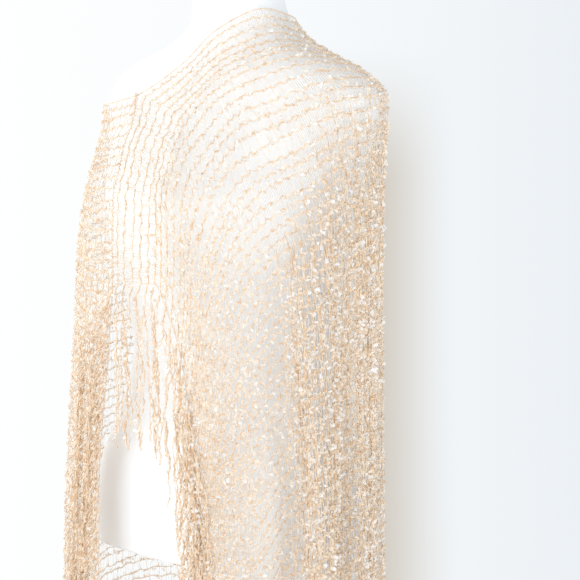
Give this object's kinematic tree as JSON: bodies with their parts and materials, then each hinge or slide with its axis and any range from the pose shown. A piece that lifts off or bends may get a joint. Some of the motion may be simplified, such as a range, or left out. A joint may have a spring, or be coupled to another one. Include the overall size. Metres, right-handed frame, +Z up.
{
  "type": "net poncho scarf on a limbless dress form with a stand",
  "caption": "Openwork poncho scarf with fringed short ends, worn over one shoulder of a limbless dress form on a pole and a round base.",
  "frame": {"origin": "centre of the round base's underside, on the floor below the pole", "axes": "+Z up along the pole; the form faces -Y; the covered shoulder is at +X and the bare shoulder at -X"},
  "size_m": [0.4004, 0.33, 1.45],
  "materials": {
    "cloth": "openwork of cream and gold ribbon yarn with small glinting petals",
    "fringe": "loose ends of the same ribbon yarn",
    "form": "matt white moulded shell",
    "stand": "satin white paint on steel"
  },
  "bodies": {
    "root": {"front_stretch": "cloth", "back_stretch": "cloth", "front_fringe": "fringe", "back_fringe": "fringe", "form_torso": "form", "stand_pole": "stand", "stand_base": "stand"}
  },
  "joints": []
}
